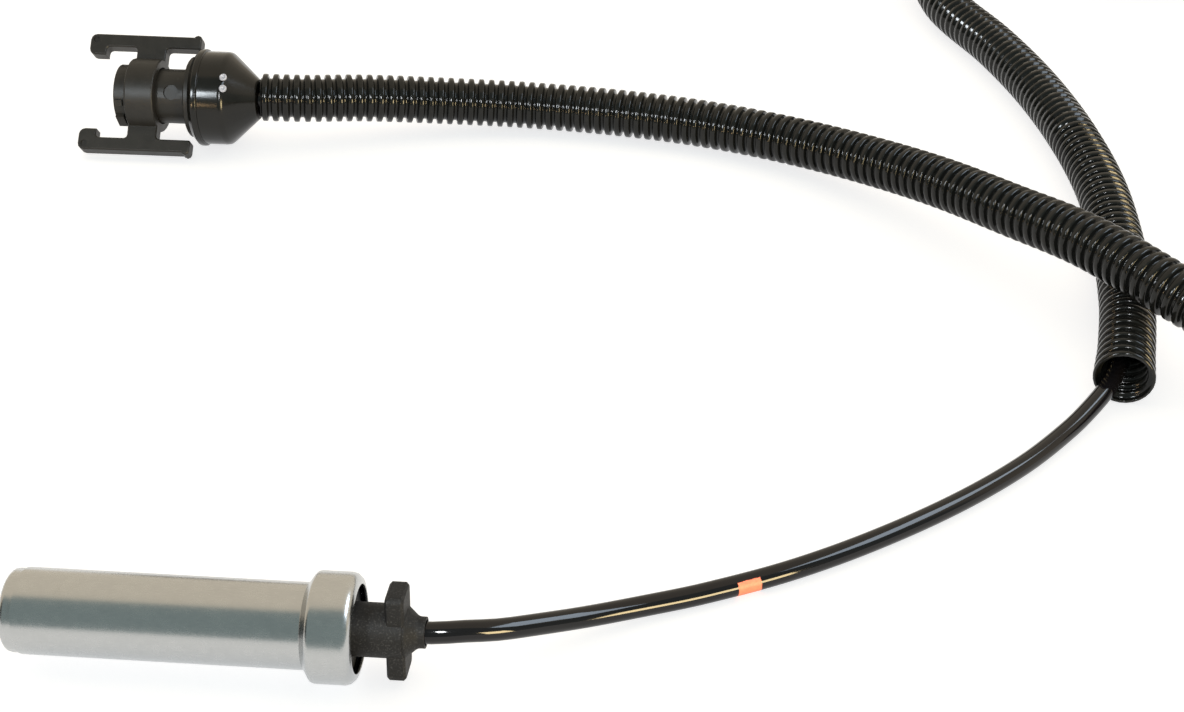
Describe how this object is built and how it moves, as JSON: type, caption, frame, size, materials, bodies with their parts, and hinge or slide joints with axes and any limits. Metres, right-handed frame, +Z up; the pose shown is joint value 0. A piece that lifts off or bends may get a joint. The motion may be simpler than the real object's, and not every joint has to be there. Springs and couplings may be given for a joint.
{
  "type": "speed sensor",
  "caption": "Inductive wheel speed sensor with a steel-sleeved head, moulded flange, black cable in a corrugated conduit, and a round plug with a hooked latch ring",
  "frame": {"origin": "on the surface that the sensor lies on, below the middle of the sensor head's bounding box", "axes": "+X along the head's axis from its sensing tip to the cable, +Y away from the camera, +Z up"},
  "size_m": [0.3845, 0.4799, 0.0268],
  "materials": {
    "sleeve_steel": "satin drawn steel",
    "core_iron": "plain",
    "inner_plastic": "matt",
    "winding_copper": "lacquered wire",
    "contact_brass": "plain",
    "core_jacket": "satin",
    "head_moulding": "spark-textured",
    "seal_rubber": "matt",
    "cable_jacket": "glossy",
    "conduit_plastic": "semi-gloss, corrugated",
    "boot_rubber": "satin",
    "plug_plastic": "matt"
  },
  "bodies": {
    "root": {"sensor_sleeve": "sleeve_steel", "pole_pin": "core_iron", "magnet": "core_iron", "bobbin": "inner_plastic", "coil_winding": "winding_copper", "terminal_a": "contact_brass", "terminal_b": "contact_brass", "splice_a": "contact_brass", "splice_b": "contact_brass", "core_a": "core_jacket", "core_b": "core_jacket", "sensor_body": "head_moulding", "sleeve_seal": "seal_rubber", "sensor_cable": "cable_jacket", "conduit_mouth_run": "conduit_plastic", "conduit_coil": "conduit_plastic", "conduit_connector_run": "conduit_plastic", "connector_boot": "boot_rubber", "connector_shell": "plug_plastic", "latch_ring": "plug_plastic", "contact_insert": "inner_plastic", "contact_retainer": "inner_plastic", "contact_a": "contact_brass", "contact_b": "contact_brass", "wire_seal": "seal_rubber", "lead_a": "core_jacket", "lead_b": "core_jacket"}
  },
  "joints": []
}
